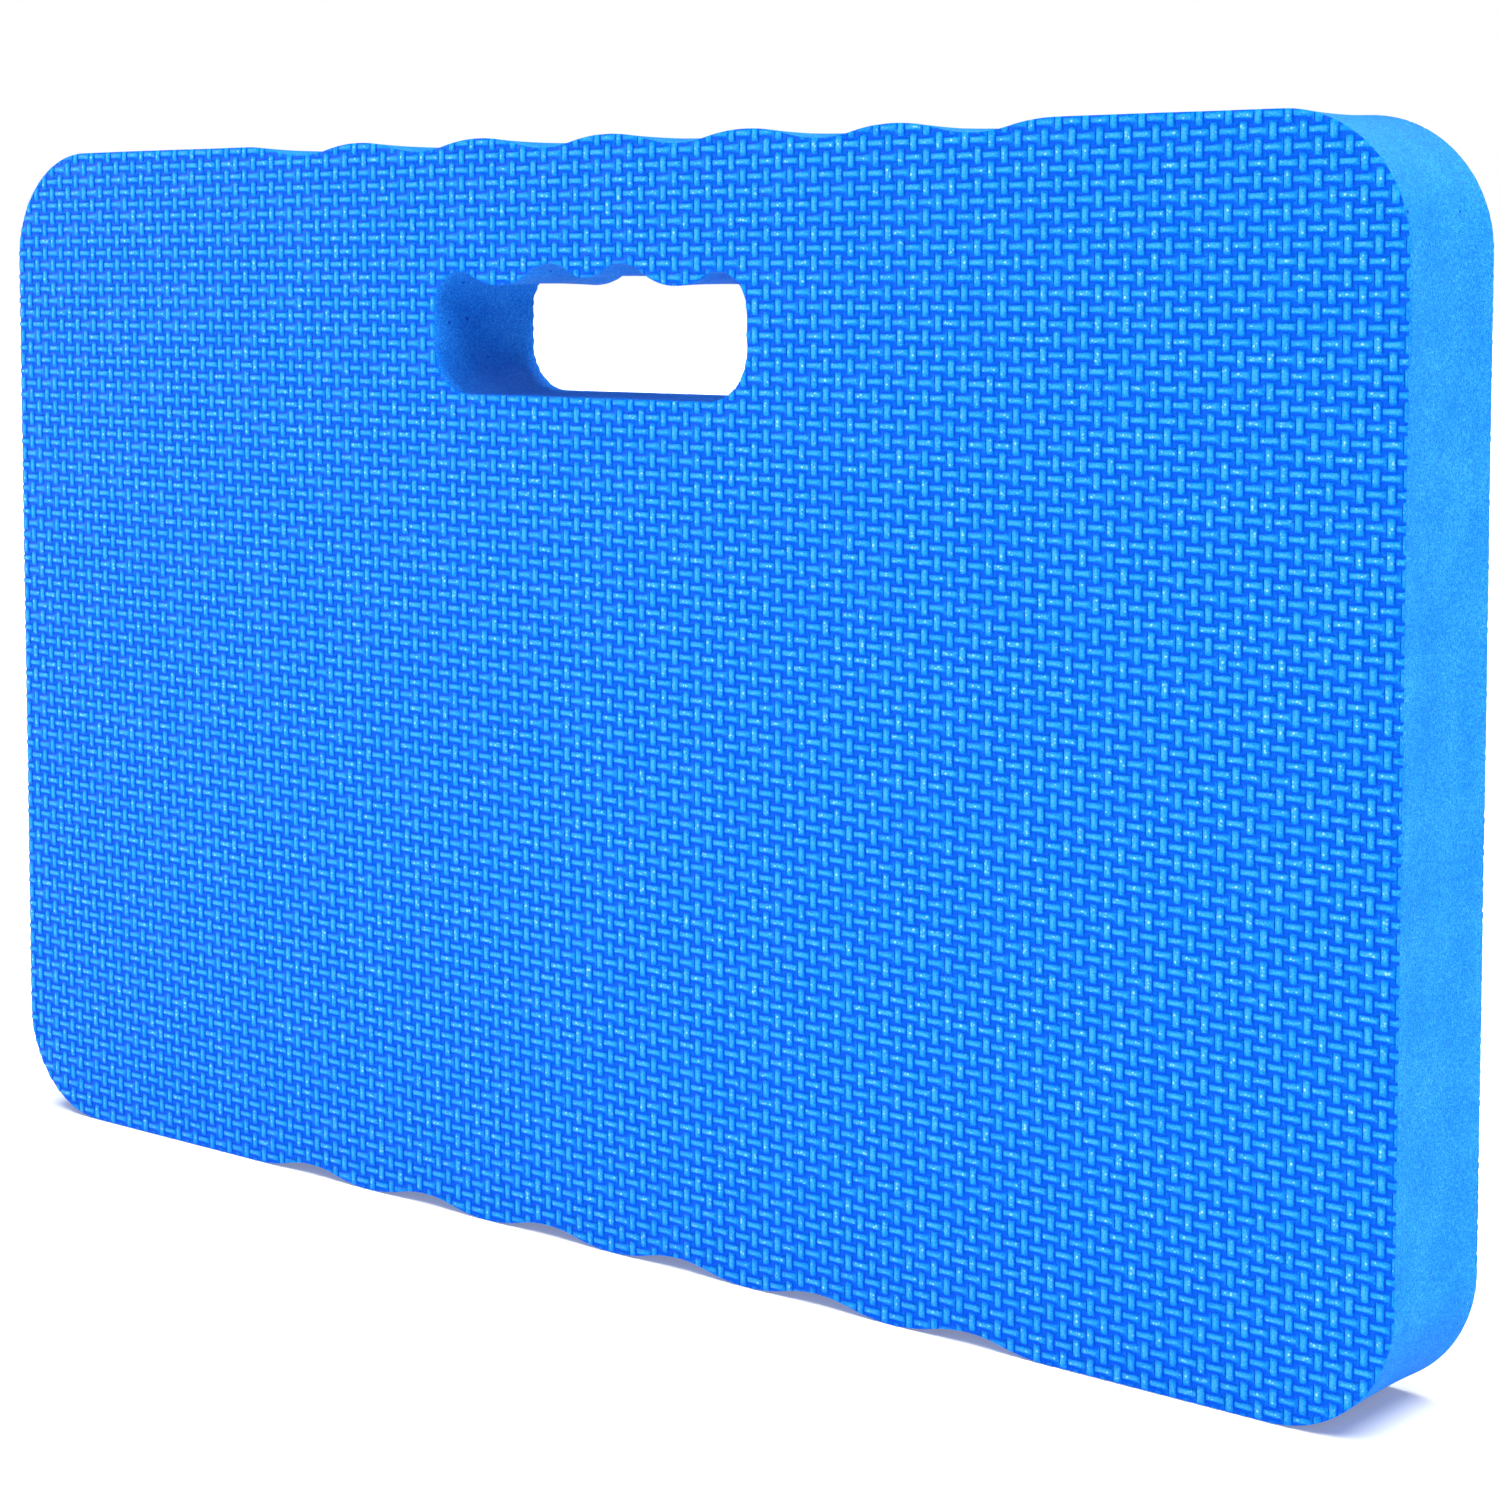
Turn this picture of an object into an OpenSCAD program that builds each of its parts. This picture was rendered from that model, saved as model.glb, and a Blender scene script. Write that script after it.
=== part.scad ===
// Kneeling pad: a flat block of closed-cell foam with a hand hole.
// Two textured skin sheets are bonded to a plain foam core, and one die cuts
// all three layers to the same outline. Both long edges carry finger grooves.
// The three layers are inferred: the photo shows no line between them. The
// length to height ratio comes from a remembered trade size, not the photo.
// The pad stands on its lower long edge: X is its length, +Z is up, and the
// front face looks towards -Y. The origin is the centre of its base.

/* [Pad] */
// Length of the pad, along X
pad_length = 450; // [400:5:500]
// Height of the pad as it stands on a long edge, along Z
pad_height = 280; // [240:5:320]
// Thickness of all the bonded layers together, along Y
pad_thickness = 38; // [20:1:50]
// Thickness of each textured skin sheet
skin_thickness = 4; // [2:0.5:8]
// Radius of the four outer corners
corner_radius = 30; // [15:1:40]

/* [Finger grooves in the long edges] */
// Number of grooves in each long edge
groove_count = 6; // [1:1:7]
// Distance from one groove to the next
groove_pitch = 44; // [36:1:44]
// Depth of a groove below the straight part of the edge
groove_depth = 2.8; // [2:0.1:4]
// Radius of the hollow of a groove
groove_radius = 38; // [20:1:38]
// Distance of the middle of the row of grooves from the pad's centre
groove_shift = 6; // [-10:1:10]

/* [Hand hole] */
// Distance from the pad's upper edge to the highest point of the hole
hole_margin = 32; // [20:1:80]
// Height of the hole at its two middle finger arcs
hole_height = 33; // [30:1:45]
// Distance of the hole's centre from the pad's centre
hole_shift = -2; // [-10:1:10]
// Radius of the two middle finger arcs
inner_finger_radius = 12; // [10:0.5:14]
// Radius of the finger arc at each end
outer_finger_radius = 9; // [7:0.5:11]
// How much lower the end finger arcs are than the middle ones
outer_finger_drop = 2; // [0:0.5:3]
// Radius of the knuckle between the two middle finger arcs
middle_knuckle_radius = 10; // [8:0.5:14]
// How far the middle knuckle reaches below the highest point of the hole
middle_knuckle_drop = 3.5; // [2:0.5:5]
// Radius of the knuckle between a middle and an end finger arc
side_knuckle_radius = 19; // [14:0.5:24]
// How far a side knuckle reaches below the highest point of the hole
side_knuckle_drop = 5.5; // [4:0.5:7]
// Radius of the two lower corners of the hole
hole_corner_radius = 12; // [8:1:14]

/* [Hidden] */
$fn = 96;

core_thickness = pad_thickness - 2 * skin_thickness;

// Two arcs that run into each other overlap by this much, so that they cross at a clean point.
arc_overlap = 0.002;
// The arcs of the crests would rise this far above the edge, which trims them to a short flat.
crest_rise = 0.05;
wave_height = groove_depth + crest_rise;
groove_to_crest = (pow(groove_pitch / 2, 2) + pow(wave_height, 2)) / (2 * wave_height);
crest_radius = groove_to_crest - groove_radius + arc_overlap;
crest_z = crest_rise - crest_radius;

// Horizontal distance between two arcs that run into each other, whose centres differ in height.
function reach(radius_a, radius_b, height_difference) =
    sqrt(pow(radius_a + radius_b - arc_overlap, 2) - pow(height_difference, 2));

// Arc centres of the hand hole, from its highest level and its own centre line.
hole_top = pad_height - hole_margin;
hole_bottom = hole_top - hole_height;
inner_finger_z = hole_top - inner_finger_radius;
outer_finger_z = hole_top - outer_finger_drop - outer_finger_radius;
middle_knuckle_z = hole_top - middle_knuckle_drop + middle_knuckle_radius;
side_knuckle_z = hole_top - side_knuckle_drop + side_knuckle_radius;
inner_finger_x = reach(inner_finger_radius, middle_knuckle_radius, middle_knuckle_z - inner_finger_z);
side_knuckle_x = inner_finger_x
    + reach(inner_finger_radius, side_knuckle_radius, side_knuckle_z - inner_finger_z);
outer_finger_x = side_knuckle_x
    + reach(outer_finger_radius, side_knuckle_radius, side_knuckle_z - outer_finger_z);
hole_half_width = outer_finger_x + outer_finger_radius;
hole_corner_x = hole_half_width - hole_corner_radius;
hole_corner_z = hole_bottom + hole_corner_radius;

// Block with four round corners, standing on Z = 0.
module rounded_block() {
    straight = pad_length / 2 - corner_radius;
    translate([-straight, 0]) square([2 * straight, pad_height]);
    translate([-pad_length / 2, corner_radius])
        square([pad_length, pad_height - 2 * corner_radius]);
    for (x = [-straight, straight], z = [corner_radius, pad_height - corner_radius])
        translate([x, z]) circle(r = corner_radius);
}

// What one groove takes out of an edge that lies along Z = 0, with the pad below it.
// The sides are the arcs of the crests beside it and the bottom is the groove's own arc.
module groove_cut() {
    hollow_z = groove_radius - groove_depth;
    difference() {
        polygon([
            [-groove_pitch / 2, crest_z],
            [0, hollow_z],
            [groove_pitch / 2, crest_z],
            [groove_pitch / 2, hollow_z],
            [-groove_pitch / 2, hollow_z]
        ]);
        for (side = [-1, 1])
            translate([side * groove_pitch / 2, crest_z]) circle(r = crest_radius);
    }
    translate([0, hollow_z]) circle(r = groove_radius);
}

// Row of grooves along an edge at Z = 0.
module groove_row() {
    first = groove_shift - groove_pitch * (groove_count - 1) / 2;
    for (i = [0 : groove_count - 1])
        translate([first + i * groove_pitch, 0]) groove_cut();
}

// Hand hole: a flat lower edge with round corners, and four finger arcs along
// the top that run into the knuckles between them.
module hand_hole() {
    difference() {
        union() {
            polygon([
                [-hole_corner_x, hole_bottom],
                [hole_corner_x, hole_bottom],
                [hole_half_width, hole_corner_z],
                [hole_half_width, outer_finger_z],
                [outer_finger_x, outer_finger_z],
                [side_knuckle_x, side_knuckle_z],
                [inner_finger_x, inner_finger_z],
                [0, middle_knuckle_z],
                [-inner_finger_x, inner_finger_z],
                [-side_knuckle_x, side_knuckle_z],
                [-outer_finger_x, outer_finger_z],
                [-hole_half_width, outer_finger_z],
                [-hole_half_width, hole_corner_z]
            ]);
            for (side = [-1, 1]) {
                translate([side * hole_corner_x, hole_corner_z]) circle(r = hole_corner_radius);
                translate([side * outer_finger_x, outer_finger_z]) circle(r = outer_finger_radius);
                translate([side * inner_finger_x, inner_finger_z]) circle(r = inner_finger_radius);
            }
        }
        translate([0, middle_knuckle_z]) circle(r = middle_knuckle_radius);
        for (side = [-1, 1])
            translate([side * side_knuckle_x, side_knuckle_z]) circle(r = side_knuckle_radius);
    }
}

// Outline that the die cuts through every layer.
module pad_outline() {
    difference() {
        rounded_block();
        translate([0, pad_height]) groove_row();
        mirror([0, 1]) groove_row();
        translate([hole_shift, 0]) hand_hole();
    }
}

// One layer of the pad, whose front surface is at Y = front.
module layer(front, thickness) {
    translate([0, front + thickness, 0])
        rotate([90, 0, 0])
            linear_extrude(height = thickness) pad_outline();
}

module front_textured_skin() {
    color("dodgerblue") layer(-pad_thickness / 2, skin_thickness);
}

module foam_core() {
    color("deepskyblue") layer(-core_thickness / 2, core_thickness);
}

module back_textured_skin() {
    color("dodgerblue") layer(core_thickness / 2, skin_thickness);
}

front_textured_skin();
foam_core();
back_textured_skin();
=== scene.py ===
"""Looks of a foam kneeling pad: two embossed skin sheets bonded to a plain core,
all three cut by one die, standing on the long edge of the pad. The three layers are
inferred, and the back is assumed to match the front: the photo shows neither.

Lengths named here are in millimetres, as the pad was designed; MM turns them into
metres where a mesh or a light is made. Points of the outline are (x, z) pairs.
"""

import math

import bpy
import numpy as np
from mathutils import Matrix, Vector, noise
from mathutils.geometry import delaunay_2d_cdt
from mathutils.kdtree import KDTree


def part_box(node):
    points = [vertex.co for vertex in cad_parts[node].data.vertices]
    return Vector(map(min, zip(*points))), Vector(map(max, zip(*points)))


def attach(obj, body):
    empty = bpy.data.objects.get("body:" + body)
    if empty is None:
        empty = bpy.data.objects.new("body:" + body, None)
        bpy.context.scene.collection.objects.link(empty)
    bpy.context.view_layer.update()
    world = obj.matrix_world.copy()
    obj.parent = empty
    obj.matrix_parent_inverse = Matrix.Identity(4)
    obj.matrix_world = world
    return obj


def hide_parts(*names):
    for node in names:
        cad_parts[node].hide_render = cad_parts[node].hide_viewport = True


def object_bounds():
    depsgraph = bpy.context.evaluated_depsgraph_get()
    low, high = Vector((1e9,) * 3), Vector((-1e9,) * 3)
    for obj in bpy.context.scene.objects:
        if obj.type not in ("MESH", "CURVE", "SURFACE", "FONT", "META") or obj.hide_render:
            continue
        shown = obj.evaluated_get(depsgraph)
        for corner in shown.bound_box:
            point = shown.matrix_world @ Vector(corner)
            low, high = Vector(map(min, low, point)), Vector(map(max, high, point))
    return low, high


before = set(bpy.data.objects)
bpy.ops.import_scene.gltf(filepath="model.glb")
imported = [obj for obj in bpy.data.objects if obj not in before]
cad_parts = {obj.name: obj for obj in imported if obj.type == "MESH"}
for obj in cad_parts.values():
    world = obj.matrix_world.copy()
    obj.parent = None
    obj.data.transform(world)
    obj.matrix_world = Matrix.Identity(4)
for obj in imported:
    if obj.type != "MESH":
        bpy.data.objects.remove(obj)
cad_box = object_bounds()

MM = 0.001

# The pad's size, from the frame.
LENGTH = (cad_box[1] - cad_box[0])[0] / MM
HEIGHT = (cad_box[1] - cad_box[0])[2] / MM
FACE_Y = cad_box[1][1] / MM
CORE_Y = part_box("foam_core")[1][1] / MM

# The die's outline, as in the CAD model.
CORNER_RADIUS = 30.0
GROOVE_COUNT = 6
GROOVE_PITCH = 44.0
GROOVE_DEPTH = 2.8
GROOVE_RADIUS = 38.0
GROOVE_SHIFT = 6.0
HOLE_TOP = HEIGHT - 32.0
HOLE_HEIGHT = 33.0
HOLE_SHIFT = -2.0
INNER_FINGER_RADIUS = 12.0
OUTER_FINGER_RADIUS = 9.0
OUTER_FINGER_DROP = 2.0
MIDDLE_KNUCKLE_RADIUS = 10.0
MIDDLE_KNUCKLE_DROP = 3.5
SIDE_KNUCKLE_RADIUS = 19.0
SIDE_KNUCKLE_DROP = 5.5
HOLE_CORNER_RADIUS = 12.0

# How finely the outline is sampled.
CURVE_STEP = 1.2
STRAIGHT_STEP = 3.0

# The weave: upright and level bars alternate like the squares of a chessboard. Under the
# assumed length to height ratio of the pad, a cell comes out 5 % longer along X than along Z.
CELL_X = 3.59
CELL_Z = 3.415
WEAVE_START = (-4.72, 2.24)
# A bar is half its width, half its length, and the chamfer of its shoulder across and along it.
UPRIGHT_BAR = (1.02, 2.16, 0.55, 0.85)
LEVEL_BAR = (0.76, 2.46, 0.30, 0.45)
LEVEL_SHIFT = 0.06
SIDE_INSET = 0.29
END_INSET = 0.20
RIDGE_INSET = 0.95
VALLEY_DEPTH = 0.62
SHOULDER_SIDE_DEPTH = 0.22
SHOULDER_END_DEPTH = 0.33
RIDGE_END_DEPTH = 0.10
POCKET_DEPTH = 0.52
MEETING_DEPTH = 0.38
BAR_JITTER = 0.02
HEIGHT_JITTER = 0.07

# The die presses the weave down to this depth at the rim, and less and less this far in.
RIM_PRESS_DEPTH = 0.48
RIM_PRESS_WIDTH = 1.6
# A slab reaches this much deeper than its skin, and the die cuts it back.
SLAB_SPARE = 1.0


# ---------------------------------------------------------------- outline

def arc(centre, radius, start, end):
    """Points along an arc, from start to end in radians, without the last one."""
    count = max(2, math.ceil(abs(end - start) * radius / CURVE_STEP))
    angles = np.linspace(start, end, count, endpoint=False)
    return [(centre[0] + radius * math.cos(a), centre[1] + radius * math.sin(a)) for a in angles]


def line(start, end):
    """Points along a straight line, without the last one."""
    count = max(1, math.ceil(math.dist(start, end) / STRAIGHT_STEP))
    return [tuple(np.array(start) + (np.array(end) - start) * i / count) for i in range(count)]


def groove_drop(x):
    """How far the edge lies inside its straight line, at x along a long edge."""
    first = GROOVE_SHIFT - GROOVE_PITCH * (GROOVE_COUNT - 1) / 2
    half = GROOVE_PITCH / 2
    if abs(x - GROOVE_SHIFT) >= half * GROOVE_COUNT:
        return 0.0
    both_radii = (half**2 + GROOVE_DEPTH**2) / (2 * GROOVE_DEPTH)
    crest_radius = both_radii - GROOVE_RADIUS
    from_groove = abs((x - first + half) % GROOVE_PITCH - half)
    if from_groove < half * GROOVE_RADIUS / both_radii:
        return GROOVE_DEPTH - GROOVE_RADIUS + math.sqrt(GROOVE_RADIUS**2 - from_groove**2)
    return crest_radius - math.sqrt(crest_radius**2 - (half - from_groove) ** 2)


def outer_loop():
    """The pad's outline, anticlockwise as seen from the front."""
    side = LENGTH / 2
    straight = side - CORNER_RADIUS
    count = math.ceil(2 * straight / CURVE_STEP)
    along = np.linspace(-straight, straight, count, endpoint=False)
    points = [(x, groove_drop(x)) for x in along]
    points += arc((straight, CORNER_RADIUS), CORNER_RADIUS, -math.pi / 2, 0)
    points += line((side, CORNER_RADIUS), (side, HEIGHT - CORNER_RADIUS))
    points += arc((straight, HEIGHT - CORNER_RADIUS), CORNER_RADIUS, 0, math.pi / 2)
    points += [(-x, HEIGHT - groove_drop(-x)) for x in along]
    points += arc((-straight, HEIGHT - CORNER_RADIUS), CORNER_RADIUS, math.pi / 2, math.pi)
    points += line((-side, HEIGHT - CORNER_RADIUS), (-side, CORNER_RADIUS))
    points += arc((-straight, CORNER_RADIUS), CORNER_RADIUS, math.pi, 1.5 * math.pi)
    return np.array(points)


def hole_loop():
    """The hand hole's outline, clockwise, so that the foam is on its left as on the outer loop."""
    inner_z = HOLE_TOP - INNER_FINGER_RADIUS
    outer_z = HOLE_TOP - OUTER_FINGER_DROP - OUTER_FINGER_RADIUS
    middle_z = HOLE_TOP - MIDDLE_KNUCKLE_DROP + MIDDLE_KNUCKLE_RADIUS
    side_z = HOLE_TOP - SIDE_KNUCKLE_DROP + SIDE_KNUCKLE_RADIUS
    corner_z = HOLE_TOP - HOLE_HEIGHT + HOLE_CORNER_RADIUS

    def reach(radius_a, radius_b, height_difference):
        return math.sqrt((radius_a + radius_b) ** 2 - height_difference**2)

    inner_x = reach(INNER_FINGER_RADIUS, MIDDLE_KNUCKLE_RADIUS, middle_z - inner_z)
    side_x = inner_x + reach(INNER_FINGER_RADIUS, SIDE_KNUCKLE_RADIUS, side_z - inner_z)
    outer_x = side_x + reach(OUTER_FINGER_RADIUS, SIDE_KNUCKLE_RADIUS, side_z - outer_z)
    corner_x = outer_x + OUTER_FINGER_RADIUS - HOLE_CORNER_RADIUS

    # Steepness of the lines that join the arcs' centres.
    to_middle = math.atan2(middle_z - inner_z, inner_x)
    to_side = math.atan2(side_z - inner_z, side_x - inner_x)
    from_outer = math.atan2(side_z - outer_z, outer_x - side_x)

    # The right half, from the lowest point of the middle knuckle round to the flat lower edge.
    half = arc((0, middle_z), MIDDLE_KNUCKLE_RADIUS, -math.pi / 2, -to_middle)
    half += arc((inner_x, inner_z), INNER_FINGER_RADIUS, math.pi - to_middle, to_side)
    half += arc((side_x, side_z), SIDE_KNUCKLE_RADIUS, math.pi + to_side, 2 * math.pi - from_outer)
    half += arc((outer_x, outer_z), OUTER_FINGER_RADIUS, math.pi - from_outer, 0)
    half += line((outer_x + OUTER_FINGER_RADIUS, outer_z), (outer_x + OUTER_FINGER_RADIUS, corner_z))
    half += arc((corner_x, corner_z), HOLE_CORNER_RADIUS, 0, -math.pi / 2)
    half += line((corner_x, corner_z - HOLE_CORNER_RADIUS), (0, corner_z - HOLE_CORNER_RADIUS))
    other = [(-x, z) for x, z in reversed(half[1:])]
    whole = half + [(0, corner_z - HOLE_CORNER_RADIUS)] + other
    return np.array(whole) + (HOLE_SHIFT, 0)


def outward(loop):
    """Unit normals of a loop, pointing out of the foam."""
    along = np.roll(loop, -1, axis=0) - np.roll(loop, 1, axis=0)
    normals = np.stack([along[:, 1], -along[:, 0]], axis=1)
    return normals / np.linalg.norm(normals, axis=1, keepdims=True)


# ---------------------------------------------------------------- die-cut wall

# Foam draws in where the die squeezes it, so the wall is hollow and its rims are soft.
# Each ring of the wall is how far it lies from the face, and how far in it is drawn.
WALL_HOLLOW = 0.5
RIM = ((-0.2, 0.60), (0.0, 0.30), (0.2, 0.13), (0.5, 0.04))
CREASE_FROM_FACE = 0.9
CREASE_DEPTH = 0.35
SKIN_RINGS = (CREASE_FROM_FACE, 1.3, 2.0, 2.8)
CORE_RINGS = 12
RIPPLE = 0.12
SLOW_RIPPLE_SIZE = 45.0
QUICK_RIPPLE_SIZE = 11.0
CREASE_REACH = 0.3
CREASE_SIZE = 24.0
# The creases follow noise read at this Y, which differs between the two skins.
CREASE_NOISE_Y = 40.0
CREASE_THRESHOLD = 0.12


def wall_hollow(y):
    """How far the wall is drawn in at y, before the rim's own rounding."""
    return WALL_HOLLOW * (1 - (abs(y) / FACE_Y) ** 2)


def ripple(x, y, z):
    """Unevenness of the cut, from 0 to about RIPPLE, and never outwards."""
    slow = noise.noise(Vector((x, y, z)) / SLOW_RIPPLE_SIZE)
    quick = noise.noise(Vector((x, y * 1.5, z)) / QUICK_RIPPLE_SIZE + Vector((7, 3, 5)))
    return RIPPLE * max(0.0, 0.5 + 0.7 * slow + 0.35 * quick)


def crease(x, y, z):
    """A shallow crease near some stretches of the rim, where the die dragged the skin."""
    from_face = FACE_Y - abs(y)
    if abs(from_face - CREASE_FROM_FACE) > CREASE_REACH:
        return 0.0
    where = noise.noise(Vector((x, math.copysign(CREASE_NOISE_Y, y), z)) / CREASE_SIZE)
    return CREASE_DEPTH * min(1.0, max(0.0, (where - CREASE_THRESHOLD) * 6))


def wall_ring(loop, normals, y, drawn_in):
    """One ring of the wall: the loop at y, drawn into the foam."""
    points = []
    for (x, z), (nx, nz) in zip(loop, normals):
        inward = drawn_in + wall_hollow(y) + ripple(x, y, z) + crease(x, y, z)
        points.append(((x - nx * inward) * MM, y * MM, (z - nz * inward) * MM))
    return points


def skin_rings():
    """Rings of a skin's wall, from just outside its face to the core, as (from face, drawn in)."""
    return [*RIM, *((d, 0.0) for d in SKIN_RINGS), (FACE_Y - CORE_Y, 0.0)]


def die_block(name, rings, material):
    """A closed block with the die's outline and hand hole. rings are (y, drawn in), from front to back."""
    vertices, faces, first_loops, last_loops = [], [], [], []
    for loop in (outer_loop(), hole_loop()):
        normals, count, start = outward(loop), len(loop), len(vertices)
        for y, drawn_in in rings:
            vertices += wall_ring(loop, normals, y, drawn_in)
        for ring in range(len(rings) - 1):
            near = start + ring * count
            for i in range(count):
                j = (i + 1) % count
                faces.append((near + i, near + count + i, near + count + j, near + j))
        first_loops.append(range(start, start + count))
        last_loops.append(range(start + (len(rings) - 1) * count, start + len(rings) * count))
    for loops, flip in ((first_loops, False), (last_loops, True)):
        faces += cap(vertices, loops, flip)
    mesh = bpy.data.meshes.new(name)
    mesh.from_pydata(vertices, [], faces)
    mesh.materials.append(material)
    block = bpy.data.objects.new(name, mesh)
    bpy.context.collection.objects.link(block)
    return block


def cap(vertices, loops, flip):
    """Triangles that close a ring of wall. loops are the outer one and the hand hole's, left open."""
    index = [i for loop in loops for i in loop]
    flat = [Vector((vertices[i][0], vertices[i][2])) / MM for i in index]
    edge = len(loops[0])
    outer, hole = list(range(edge)), list(range(edge, len(index)))
    filled = delaunay_2d_cdt(flat, [], [outer, hole[::-1]], 1, 1e-6)
    _, _, triangles, sources, _, areas = filled
    kept = [t for t, area in zip(triangles, areas) if area == [0]]
    kept = [[index[sources[k][0]] for k in t] for t in kept]
    return [t[::-1] if flip else t for t in kept]


# ---------------------------------------------------------------- embossed weave

# Corners are numbered 0 to 3, anticlockwise from the lower left one. A bar's points are
# its four corners in the valley, then its shoulder, two points by each corner, then its ridge.
CORNERS = ((-1, -1), (1, -1), (1, 1), (-1, 1))
BASE, SHOULDER, RIDGE = 0, 4, 12
POINTS_PER_BAR = 15
POCKET = POINTS_PER_BAR
POINTS_PER_CELL = POINTS_PER_BAR + 1


def bar_points(half_width, half_length, chamfer_across, chamfer_along):
    """An upright bar's points, as (x, z, depth below the face)."""
    points = [(x * half_width, z * half_length, VALLEY_DEPTH) for x, z in CORNERS]
    width, length = half_width - SIDE_INSET, half_length - END_INSET
    for corner, (x, z) in enumerate(CORNERS):
        by_side = (x * width, z * (length - chamfer_along), SHOULDER_SIDE_DEPTH)
        by_end = (x * (width - chamfer_across), z * length, SHOULDER_END_DEPTH)
        points += [by_side, by_end] if corner % 2 == 0 else [by_end, by_side]
    ridge = half_length - RIDGE_INSET
    points += [(0, -ridge, RIDGE_END_DEPTH), (0, 0, 0), (0, ridge, RIDGE_END_DEPTH)]
    return np.array(points)


def bar_faces():
    """An upright bar's triangles, anticlockwise as seen from the front."""
    faces = []
    for corner in range(4):
        after = (corner + 1) % 4
        first = SHOULDER + 2 * corner
        last, ahead = first + 1, SHOULDER + 2 * after
        faces += [(BASE + corner, last, first)]
        faces += [(BASE + corner, BASE + after, ahead), (BASE + corner, ahead, last)]
        if corner in (0, 2):
            tip = RIDGE + corner
            faces += [(first, last, tip), (last, ahead, tip), (ahead, ahead + 1, tip)]
        else:
            near, far = (RIDGE, RIDGE + 2) if corner == 1 else (RIDGE + 2, RIDGE)
            faces += [(last, ahead, RIDGE + 1), (last, RIDGE + 1, near), (ahead, far, RIDGE + 1)]
    return faces


def turned(points):
    """An upright bar's points turned a quarter anticlockwise, for a level bar."""
    return np.stack([-points[:, 1], points[:, 0], points[:, 2]], axis=1)


def weave_patch(seed):
    """The weave over a rectangle that covers the pad: points as (x, z, depth), and triangles.

    Each cell has its bar and the pocket beyond its corner 2, and it closes the gaps to the
    cells on its right and above it. A level bar is numbered from a turned upright bar, so
    its corner k is that bar's corner k - 1. Its right end meets the next upright bar, and
    its left end comes out of a valley.
    """
    rng = np.random.default_rng(seed)
    margin = 3
    count_x = math.ceil(LENGTH / CELL_X) + 2 * margin
    count_z = math.ceil(HEIGHT / CELL_Z) + 2 * margin
    column, row = np.meshgrid(np.arange(count_x), np.arange(count_z), indexing="ij")
    level = (column + row) % 2 == 1
    centre_x = WEAVE_START[0] + (column - count_x // 2) * CELL_X
    centre_z = WEAVE_START[1] + (row - margin) * CELL_Z

    points = np.zeros((count_x, count_z, POINTS_PER_CELL, 3))
    points[~level, :POINTS_PER_BAR] = bar_points(*UPRIGHT_BAR)
    points[level, :POINTS_PER_BAR] = turned(bar_points(*LEVEL_BAR)) + (LEVEL_SHIFT, 0, 0)
    points[level, BASE:BASE + 2, 2] = MEETING_DEPTH
    shift = rng.uniform(-BAR_JITTER, BAR_JITTER, (count_x, count_z, 1, 2))
    points[:, :, :POINTS_PER_BAR, :2] += shift
    lower = rng.uniform(0, HEIGHT_JITTER, (count_x, count_z, 1))
    points[:, :, SHOULDER:POINTS_PER_BAR, 2] += lower
    points[:, :, POCKET] = (CELL_X / 2, CELL_Z / 2, POCKET_DEPTH)
    points[:, :, POCKET, 2] += rng.uniform(-HEIGHT_JITTER, HEIGHT_JITTER, (count_x, count_z))
    points[..., 0] += centre_x[..., None]
    points[..., 1] += centre_z[..., None]

    first = (column * count_z + row) * POINTS_PER_CELL
    corners = [first + (k - level) % 4 for k in range(4)]
    right = (corners[1][:-1], corners[0][1:], corners[3][1:], corners[2][:-1])
    above = (corners[3][:, :-1], corners[2][:, :-1], corners[1][:, 1:], corners[0][:, 1:])
    beyond = (corners[2][:-1, :-1], corners[3][1:, :-1], corners[0][1:, 1:], corners[1][:-1, 1:])
    faces = [first[..., None, None] + np.array(bar_faces())]
    for a, b, c, d in (right, above):
        faces += [np.stack((a, b, c), axis=-1), np.stack((a, c, d), axis=-1)]
    for k in range(4):
        edge = (beyond[k], beyond[(k + 1) % 4], first[:-1, :-1] + POCKET)
        faces.append(np.stack(edge, axis=-1))
    return points.reshape(-1, 3), np.concatenate([f.reshape(-1, 3) for f in faces])


def rim_loop(faces):
    """The points round the edge of a patch of triangles, in the order in which it uses them."""
    edges = np.concatenate([faces[:, (0, 1)], faces[:, (1, 2)], faces[:, (2, 0)]]).astype(np.int64)
    both = edges.max() + 1
    forward, backward = edges[:, 0] * both + edges[:, 1], edges[:, 1] * both + edges[:, 0]
    rim = edges[~np.isin(forward, backward)]
    following = dict(rim.tolist())
    loop = [int(rim[0, 0])]
    while following[loop[-1]] != loop[0]:
        loop.append(following[loop[-1]])
    return loop


def press_rim(flat):
    """Lowers the weave next to the die's cut, so that the rim is a soft even line."""
    rim = np.concatenate([outer_loop(), hole_loop()])
    tree = KDTree(len(rim))
    for i, (x, z) in enumerate(rim):
        tree.insert((x, z, 0), i)
    tree.balance()
    for point in flat:
        _, _, gap = tree.find((point[0], point[1], 0))
        if gap < RIM_PRESS_WIDTH:
            pressed = (1 - gap / RIM_PRESS_WIDTH) ** 2
            point[2] += (RIM_PRESS_DEPTH - point[2]) * pressed


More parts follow.
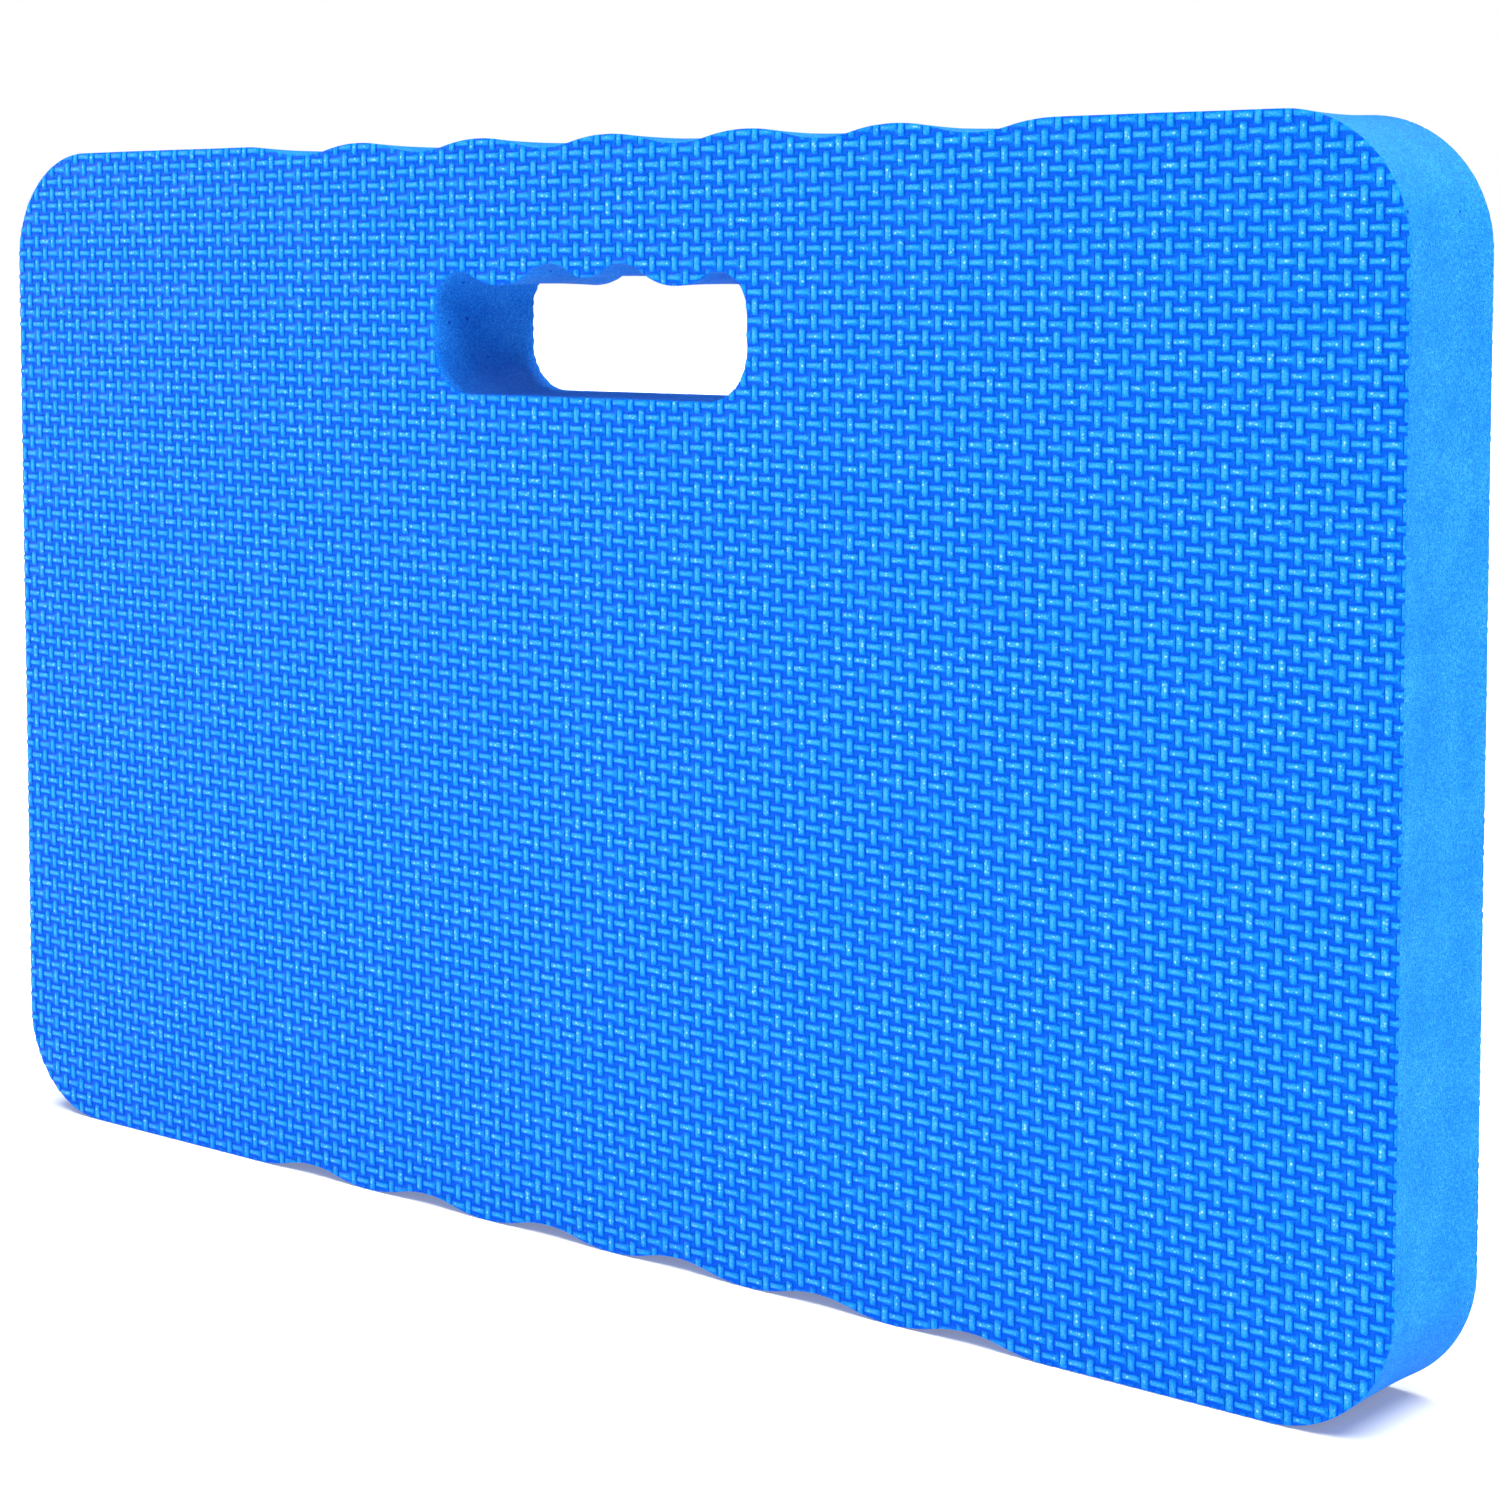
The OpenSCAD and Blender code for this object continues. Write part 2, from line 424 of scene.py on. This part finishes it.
def weave_slab(name, side, seed, material):
    """A closed slab with the weave on its face. side is -1 for the front skin and 1 for the back."""
    flat, faces = weave_patch(seed)
    used = np.unique(faces)
    compact = np.zeros(len(flat), np.int64)
    compact[used] = np.arange(len(used))
    flat, faces = flat[used], compact[faces]
    press_rim(flat)
    loop = rim_loop(faces)
    behind = FACE_Y - CORE_Y + SLAB_SPARE
    rim = flat[loop].copy()
    rim[:, 2] = behind
    below = np.arange(len(loop)) + len(flat)
    flat = np.concatenate([flat, rim])
    x, z, depth = flat.T
    vertices = np.stack([-side * x, side * (FACE_Y - depth), z], axis=1) * MM
    polygons = faces.tolist()
    for i, point in enumerate(loop):
        j = (i + 1) % len(loop)
        polygons.append((int(below[i]), int(below[j]), loop[j], point))
    polygons.append(below[::-1].tolist())
    mesh = bpy.data.meshes.new(name)
    mesh.from_pydata(vertices, [], polygons)
    mesh.materials.append(material)
    slab = bpy.data.objects.new(name, mesh)
    bpy.context.collection.objects.link(slab)
    return slab


# ---------------------------------------------------------------- pieces

SKIN_CREASE_ANGLE = math.radians(75)


def smooth(piece):
    """Smooth shading, with edges kept only where the surface turns sharply."""
    piece.data.shade_smooth()
    piece.data.set_sharp_from_angle(angle=SKIN_CREASE_ANGLE)


def skin(name, side, seed, embossed, cut):
    """An embossed sheet: the weave slab, cut by the die."""
    rings = [(side * (FACE_Y - from_face), drawn_in) for from_face, drawn_in in skin_rings()]
    if side > 0:
        rings.reverse()
    piece = weave_slab(name, side, seed, embossed)
    die = die_block(name + "_die", rings, cut)
    modifier = piece.modifiers.new("die", "BOOLEAN")
    modifier.operation = "INTERSECT"
    modifier.solver = "MANIFOLD"
    modifier.object = die
    modifier.material_mode = "TRANSFER"
    evaluated = piece.evaluated_get(bpy.context.evaluated_depsgraph_get())
    mesh = bpy.data.meshes.new_from_object(evaluated)
    piece.modifiers.clear()
    piece.data = mesh
    bpy.data.objects.remove(die)
    smooth(piece)
    return piece


def core(name, cut):
    """The thick plain sheet between the skins."""
    rings = [(y, 0.0) for y in np.linspace(-CORE_Y, CORE_Y, CORE_RINGS)]
    piece = die_block(name, rings, cut)
    smooth(piece)
    return piece


# ---------------------------------------------------------------- materials

NOISE_DETAIL = 2.0


class Nodes:
    """Short ways to add the nodes that the foam materials use."""

    def __init__(self, name):
        self.material = bpy.data.materials.new(name)
        self.material.use_nodes = True
        self.tree = self.material.node_tree
        self.shader = self.tree.nodes["Principled BSDF"]
        coordinates = self.tree.nodes.new("ShaderNodeTexCoord")
        self.place = coordinates.outputs["Object"]

    def set(self, socket, value):
        """Links an output to a socket, or sets the socket to a plain value."""
        if isinstance(value, bpy.types.NodeSocket):
            self.tree.links.new(value, socket)
        else:
            socket.default_value = value

    def math(self, operation, a, b=0.0):
        node = self.tree.nodes.new("ShaderNodeMath")
        node.operation = operation
        self.set(node.inputs[0], a)
        self.set(node.inputs[1], b)
        return node.outputs[0]

    def spread(self, value, low, high, to_low=0.0, to_high=1.0):
        """value, mapped from low to high onto to_low to to_high, and held inside that."""
        node = self.tree.nodes.new("ShaderNodeMapRange")
        self.set(node.inputs["Value"], value)
        node.inputs["From Min"].default_value = low
        node.inputs["From Max"].default_value = high
        node.inputs["To Min"].default_value = to_low
        node.inputs["To Max"].default_value = to_high
        return node.outputs["Result"]

    def noise(self, size_mm):
        """Noise whose lumps are about size_mm across, about 0.5 on average."""
        node = self.tree.nodes.new("ShaderNodeTexNoise")
        self.set(node.inputs["Vector"], self.place)
        node.inputs["Scale"].default_value = 1 / (size_mm * MM)
        node.inputs["Detail"].default_value = NOISE_DETAIL
        return node.outputs["Fac"]

    def cells(self, size_mm):
        """Cells about size_mm across: the distance from a cell's centre, and a random number in each."""
        node = self.tree.nodes.new("ShaderNodeTexVoronoi")
        self.set(node.inputs["Vector"], self.place)
        node.inputs["Scale"].default_value = 1 / (size_mm * MM)
        split = self.tree.nodes.new("ShaderNodeSeparateColor")
        self.tree.links.new(node.outputs["Color"], split.inputs["Color"])
        return node.outputs["Distance"], split.outputs["Red"]

    def ramp(self, value, stops):
        """A colour ramp through (position, linear colour) stops."""
        node = self.tree.nodes.new("ShaderNodeValToRGB")
        self.set(node.inputs["Fac"], value)
        elements = node.color_ramp.elements
        while len(elements) < len(stops):
            elements.new(1.0)
        for element, (position, colour) in zip(elements, stops):
            element.position = position
            element.color = (*colour, 1.0)
        return node.outputs["Color"]

    def mix(self, factor, a, b, blend="MIX"):
        node = self.tree.nodes.new("ShaderNodeMix")
        node.data_type = "RGBA"
        node.blend_type = blend
        self.set(node.inputs[0], factor)
        self.set(node.inputs[6], a)
        self.set(node.inputs[7], b)
        return node.outputs[2]

    def bump(self, height, distance_mm, strength, below=None):
        """A bump from a height between 0 and 1, on top of another bump if there is one."""
        node = self.tree.nodes.new("ShaderNodeBump")
        node.inputs["Strength"].default_value = strength
        node.inputs["Distance"].default_value = distance_mm * MM
        self.set(node.inputs["Height"], height)
        if below is not None:
            self.set(node.inputs["Normal"], below)
        return node.outputs["Normal"]


def embossed_foam():
    """Heat-embossed foam: a smooth, slightly glossy skin. Its colour holds painted shade, deeper blue
    towards the valleys, and a painted highlight, paler and redder on the crowns.
    """
    nodes = Nodes("embossed_foam")
    split = nodes.tree.nodes.new("ShaderNodeSeparateXYZ")
    nodes.set(split.inputs["Vector"], nodes.place)
    from_middle = nodes.math("ABSOLUTE", split.outputs["Y"])
    raised = nodes.spread(from_middle, (FACE_Y - VALLEY_DEPTH) * MM, FACE_Y * MM)
    grain = nodes.noise(0.42)
    mottle = nodes.noise(9.0)
    height = nodes.math("ADD", raised, nodes.spread(mottle, 0.3, 0.7, -0.02, 0.02))
    height = nodes.math("ADD", height, nodes.spread(grain, 0.3, 0.7, -0.12, 0.12))
    # Painted shade and painted highlight: the ramp runs from deep blue at the valley floor to pale blue
    # with more red on the crowns.
    stops = ((0.0, (0.0, 0.095, 0.70)), (0.2, (0.0, 0.125, 0.76)), (0.38, (0.004, 0.22, 0.82)),
             (0.65, (0.010, 0.28, 0.87)), (1.0, (0.065, 0.41, 0.93)))
    speckle = nodes.ramp(nodes.spread(grain, 0.34, 0.66),
                         ((0.0, (0.72, 0.78, 0.88)), (1.0, (1.0, 1.0, 1.0))))
    colour = nodes.mix(1.0, nodes.ramp(height, stops), speckle, "MULTIPLY")
    # Painted glints: pale specks of painted highlight on the crowns of the bars.
    glint_distance, chance = nodes.cells(0.75)
    glint_size = nodes.spread(chance, 0.45, 1.0, 0.0, 0.55)
    glint = nodes.spread(nodes.math("SUBTRACT", glint_size, glint_distance), 0.0, 0.15, 0.0, 0.9)
    on_bars = nodes.spread(height, 0.55, 0.85)
    colour = nodes.mix(nodes.math("MULTIPLY", glint, on_bars), colour, (0.30, 0.66, 0.98, 1.0))
    nodes.set(nodes.shader.inputs["Base Color"], colour)
    nodes.set(nodes.shader.inputs["Roughness"], nodes.spread(grain, 0.3, 0.7, 0.36, 0.56))
    nodes.shader.inputs["Specular IOR Level"].default_value = 0.03
    dimples = nodes.bump(nodes.noise(0.9), 0.12, 0.5)
    nodes.set(nodes.shader.inputs["Normal"], nodes.bump(grain, 0.10, 0.8, dimples))
    return nodes.material


def cut_foam():
    """Die-cut foam: fine cut cells, matt, with a few larger open bubbles, whose dark colour is painted
    shade.
    """
    nodes = Nodes("cut_foam")
    distance, _ = nodes.cells(0.38)
    _, tone = nodes.cells(0.46)
    hole_distance, chance = nodes.cells(2.6)
    mottle = nodes.noise(14.0)
    cell = nodes.spread(distance, 0.1, 0.7)
    size = nodes.spread(chance, 0.93, 1.0, 0.0, 0.24)
    pinhole = nodes.spread(nodes.math("SUBTRACT", size, hole_distance), 0.0, 0.04)
    light = nodes.math("ADD", nodes.spread(tone, 0.0, 1.0, 0.15, 0.75),
                       nodes.spread(mottle, 0.3, 0.7, -0.12, 0.12))
    light = nodes.math("ADD", light, nodes.spread(cell, 0.0, 1.0, 0.35, -0.35))
    stops = ((0.0, (0.001, 0.11, 0.53)), (0.5, (0.009, 0.185, 0.64)), (1.0, (0.040, 0.26, 0.73)))
    # The open bubbles are painted dark navy: painted shade inside them.
    colour = nodes.mix(pinhole, nodes.ramp(light, stops), (0.0, 0.05, 0.45, 1.0))
    nodes.set(nodes.shader.inputs["Base Color"], colour)
    nodes.set(nodes.shader.inputs["Roughness"], nodes.spread(tone, 0.0, 1.0, 0.72, 0.9))
    nodes.shader.inputs["Specular IOR Level"].default_value = 0.06
    surface = nodes.math("SUBTRACT", cell, nodes.math("MULTIPLY", pinhole, 3.0))
    rough = nodes.bump(nodes.noise(1.5), 0.08, 0.4)
    nodes.set(nodes.shader.inputs["Normal"], nodes.bump(surface, 0.12, 0.8, rough))
    return nodes.material


# ---------------------------------------------------------------- studio

FLOOR_SIZE = 30.0
ROOM_LIGHT = 0.15
FLOOR_GLOW = 0.22
CAMERA_PLACE = (0.5384, -0.6086, 0.2452)
CAMERA_AZIMUTH = math.radians(39.54)
CAMERA_PITCH = math.radians(4.13)
CAMERA_LENS = 77.25
CAMERA_SHIFT_Y = -0.1615


def make_floor():
    """A wide white floor under the pad."""
    half = FLOOR_SIZE / 2
    mesh = bpy.data.meshes.new("floor")
    mesh.from_pydata([(-half, -half, 0), (half, -half, 0), (half, half, 0), (-half, half, 0)],
                     [], [(0, 1, 2, 3)])
    floor = bpy.data.objects.new("floor", mesh)
    bpy.context.collection.objects.link(floor)
    material = bpy.data.materials.new("floor")
    material.use_nodes = True
    shader = material.node_tree.nodes["Principled BSDF"]
    shader.inputs["Base Color"].default_value = (0.85, 0.85, 0.85, 1)
    shader.inputs["Roughness"].default_value = 1.0
    shader.inputs["Specular IOR Level"].default_value = 0.0
    shader.inputs["Emission Color"].default_value = (1, 1, 1, 1)
    shader.inputs["Emission Strength"].default_value = FLOOR_GLOW
    mesh.materials.append(material)
    return floor


def make_world():
    """A white backdrop that lights the pad only dimly, so that the lamps and the floor shape it."""
    world = bpy.data.worlds.new("studio")
    world.use_nodes = True
    nodes, links = world.node_tree.nodes, world.node_tree.links
    lighting = nodes["Background"]
    lighting.inputs["Color"].default_value = (0.97, 0.98, 1.0, 1)
    lighting.inputs["Strength"].default_value = ROOM_LIGHT
    backdrop = nodes.new("ShaderNodeBackground")
    backdrop.inputs["Color"].default_value = (1, 1, 1, 1)
    backdrop.inputs["Strength"].default_value = 1.0
    path, mix = nodes.new("ShaderNodeLightPath"), nodes.new("ShaderNodeMixShader")
    links.new(path.outputs["Is Camera Ray"], mix.inputs["Fac"])
    links.new(lighting.outputs["Background"], mix.inputs[1])
    links.new(backdrop.outputs["Background"], mix.inputs[2])
    links.new(mix.outputs["Shader"], nodes["World Output"].inputs["Surface"])
    bpy.context.scene.world = world


def make_sun(name, azimuth, elevation, strength, spread, only=None):
    """A soft light from far away. azimuth is from -Y towards +X, and all three angles in degrees.
    With only, it lights nothing but those objects."""
    data = bpy.data.lights.new(name, "SUN")
    data.energy = strength
    data.angle = math.radians(spread)
    lamp = bpy.data.objects.new(name, data)
    bpy.context.collection.objects.link(lamp)
    around, up = math.radians(azimuth), math.radians(elevation)
    towards = Vector((math.sin(around) * math.cos(up), -math.cos(around) * math.cos(up),
                      math.sin(up)))
    lamp.rotation_mode = "QUATERNION"
    lamp.rotation_quaternion = towards.to_track_quat("Z", "Y")
    if only is not None:
        lit = bpy.data.collections.new(name + "_lights")
        for thing in only:
            lit.objects.link(thing)
        lamp.light_linking.receiver_collection = lit


def make_camera():
    data = bpy.data.cameras.new("camera")
    data.lens = CAMERA_LENS
    data.shift_y = CAMERA_SHIFT_Y
    data.clip_start = 0.01
    camera = bpy.data.objects.new("camera", data)
    bpy.context.collection.objects.link(camera)
    camera.location = CAMERA_PLACE
    camera.rotation_euler = (math.pi / 2 - CAMERA_PITCH, 0, CAMERA_AZIMUTH)
    bpy.context.scene.camera = camera


# ---------------------------------------------------------------- the scene

embossed = embossed_foam()
cut = cut_foam()
parts = (
    (skin("front_skin", -1, 11, embossed, cut), "front_textured_skin", "embossed_foam"),
    (core("plain_core", cut), "foam_core", "cut_foam"),
    (skin("back_skin", 1, 23, embossed, cut), "back_textured_skin", "embossed_foam"),
)
for piece, node, slot in parts:
    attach(piece, "root")
    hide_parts(node)

floor = make_floor()
make_world()
pad = [piece for piece, _, _ in parts]
make_sun("floor_light", azimuth=50, elevation=77, strength=6.6, spread=58, only=[floor])
make_sun("key", azimuth=-64, elevation=10, strength=2.95, spread=30, only=pad)
make_sun("side_light", azimuth=84, elevation=14, strength=1.72, spread=10, only=pad)
make_sun("top_light", azimuth=92, elevation=66, strength=6.0, spread=20, only=pad)
make_sun("back_light", azimuth=180, elevation=32, strength=1.8, spread=30, only=pad)
make_camera()
bpy.context.scene.view_settings.view_transform = "Standard"
